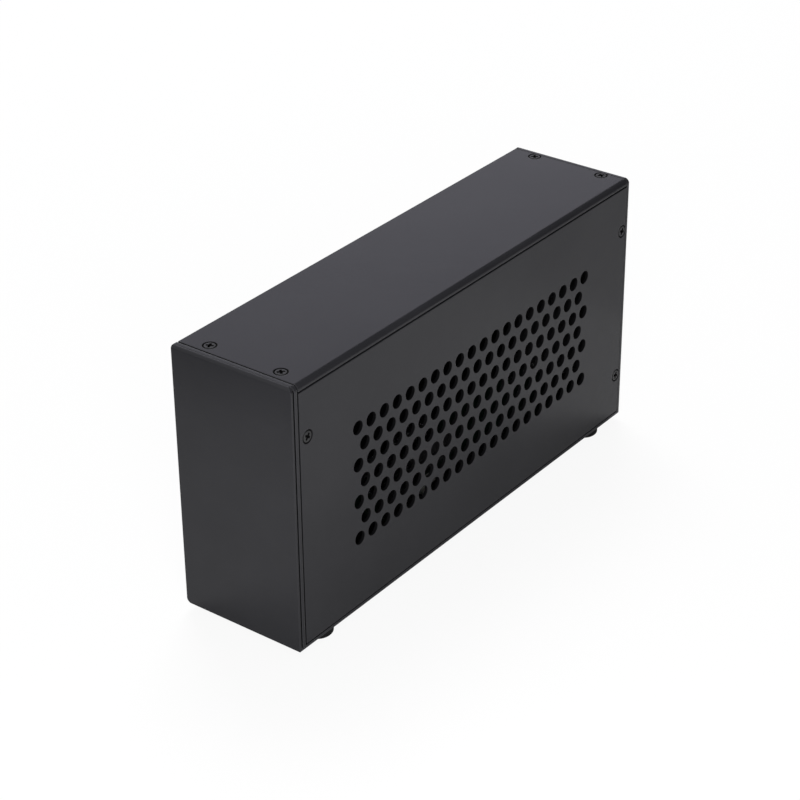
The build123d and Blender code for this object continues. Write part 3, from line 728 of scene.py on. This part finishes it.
floor_material = bpy.data.materials.new("floor")
floor_material.use_nodes = True
floor_tree = floor_material.node_tree
floor_tree.nodes.remove(floor_tree.nodes["Principled BSDF"])
paper = add_node(floor_tree, "ShaderNodeBsdfDiffuse")
paper.inputs["Color"].default_value = (FLOOR_ALBEDO, FLOOR_ALBEDO, FLOOR_ALBEDO, 1.0)
glow = add_node(floor_tree, "ShaderNodeEmission")
share = add_node(floor_tree, "ShaderNodeMath", operation="MULTIPLY")
share.inputs[1].default_value = FLOOR_GLOW
floor_tree.links.new(seen_rays(floor_tree), share.inputs[0])
floor_mix = add_node(floor_tree, "ShaderNodeMixShader")
for socket, source in zip(floor_mix.inputs, (share, paper, glow)):
    floor_tree.links.new(source.outputs[0], socket)
floor_output = floor_tree.nodes["Material Output"]
floor_tree.links.new(floor_mix.outputs[0], floor_output.inputs["Surface"])
floor_corners = level_corners((-FLOOR_HALF, -FLOOR_HALF), (FLOOR_HALF, FLOOR_HALF), 0)
floor = flat_object("floor", floor_corners, floor_material)

world = bpy.data.worlds.new("studio")
bpy.context.scene.world = world
world.use_nodes = True
world_tree = world.node_tree
background = world_tree.nodes["Background"]
background.inputs["Color"].default_value = (1.0, 1.0, 1.0, 1.0)
world_strength = add_range(world_tree, seen_rays(world_tree), WORLD_FILL, 1.0, 0.0, 1.0)
world_tree.links.new(world_strength, background.inputs["Strength"])

# Cards round the box that only the gloss shows, as on a studio table: black cloth over the box,
# behind its right side and ahead of the table, and the table's matt paper, greyer far behind, where
# the shade of the box lies
CLOTH_HEIGHT = 1.0
CLOTH_LEFT = -0.74
CLOTH_RIGHT = 2.0
CLOTH_FRONT = 0.3
CLOTH_REAR = 1.7
SCREEN_NEAR = 0.9
SCREEN_TURN = math.radians(35.0)
SCREEN_HALF_WIDTH = 0.75
TABLE_LIFT = 0.001
TABLE_FRONT = -0.31
TABLE_REACH = 1.2
FAR_PAPER_LIFT = 0.002
FAR_PAPER_CORNER = (0.08, 0.24)


def matt_grey(name, low, high):
    """A matt material between two shades of grey."""
    shades = [(low, low, low), (high, high, high)]
    return surface(name, colours=shades, rough=(0.8, 0.9), grain=500.0, specular=0.0)


def gloss_card(name, corners, material):
    """A flat card that only reflections show."""
    card = flat_object(name, corners, material)
    card.visible_camera = False
    card.visible_diffuse = False
    card.visible_shadow = False


black_cloth = matt_grey("black_cloth", 0.008, 0.012)
far_paper = matt_grey("far_paper", 0.67, 0.69)
table_paper = matt_grey("table_paper", 0.85, 0.87)
table_rear = (TABLE_REACH, TABLE_REACH)
level_cards = [
    ("cloth_overhead", (CLOTH_LEFT, CLOTH_FRONT), (CLOTH_RIGHT, CLOTH_REAR), CLOTH_HEIGHT,
     black_cloth),
    ("cloth_front", (-TABLE_REACH, -TABLE_REACH), (TABLE_REACH, TABLE_FRONT), TABLE_LIFT,
     black_cloth),
    ("paper_far", FAR_PAPER_CORNER, table_rear, FAR_PAPER_LIFT, far_paper),
    ("paper_table", (-TABLE_REACH, TABLE_FRONT), table_rear, TABLE_LIFT, table_paper),
]
for name, low, high, height, material in level_cards:
    gloss_card(name, level_corners(low, high, height), material)
screen_out = Vector((math.sin(SCREEN_TURN), math.cos(SCREEN_TURN), 0))
screen_along = screen_out.cross((0, 0, 1)) * SCREEN_HALF_WIDTH
screen_foot = screen_out * SCREEN_NEAR
screen_rise = Vector((0, 0, CLOTH_HEIGHT))
screen_left, screen_right = screen_foot - screen_along, screen_foot + screen_along
gloss_card(
    "cloth_screen",
    [screen_left, screen_right, screen_right + screen_rise, screen_left + screen_rise],
    black_cloth,
)


# Soft studio light
def softbox(name, place, aim, size, power, colour=(1, 1, 1), gloss=True):
    """A square area lamp at a place, turned to what it lights, in metres and watts."""
    light = bpy.data.lights.new(name, "AREA")
    light.shape = "SQUARE"
    light.size = size
    light.energy = power
    light.color = colour
    lamp = bpy.data.objects.new(name, light)
    lamp.location = place
    lamp.rotation_euler = (Vector(place) - Vector(aim)).to_track_quat("Z", "Y").to_euler()
    lamp.visible_camera = False
    lamp.visible_glossy = gloss
    bpy.context.scene.collection.objects.link(lamp)


softbox("key", place=(-0.75, 0.75, 1.8), aim=(0, 0, 0.07), size=1.0, power=30.0, gloss=False)
softbox(
    "behind", place=(-1.3, 1.7, 1.25), aim=(0, 0, 0.1), size=1.6, power=2.2,
    colour=(0.5, 0.45, 1.0),
)
softbox(
    "front", place=(0.55, -0.72, 0.35), aim=(0.02, -0.05, 0.08), size=0.4, power=7.0, gloss=False,
)

# Camera
azimuth = math.radians(CAMERA_AZIMUTH)
elevation = math.radians(CAMERA_ELEVATION)
roll = math.radians(CAMERA_ROLL)
level = math.cos(elevation)
view_back = Vector((math.sin(azimuth) * level, -math.cos(azimuth) * level, math.sin(elevation)))
view_right = Vector((0, 0, 1)).cross(view_back).normalized()
view_up = view_back.cross(view_right)
camera_x = math.cos(roll) * view_right + math.sin(roll) * view_up
camera_y = math.cos(roll) * view_up - math.sin(roll) * view_right
camera_place = (Vector(CAMERA_TARGET) + view_back * CAMERA_DISTANCE) * MM
camera_turn = Matrix((camera_x, camera_y, view_back)).transposed().to_4x4()
camera_data = bpy.data.cameras.new("camera")
camera_data.lens = CAMERA_LENS
camera_data.sensor_width = CAMERA_SENSOR
camera = bpy.data.objects.new("camera", camera_data)
camera.matrix_world = Matrix.Translation(camera_place) @ camera_turn
bpy.context.scene.collection.objects.link(camera)
bpy.context.scene.camera = camera
bpy.context.scene.view_settings.view_transform = "Standard"
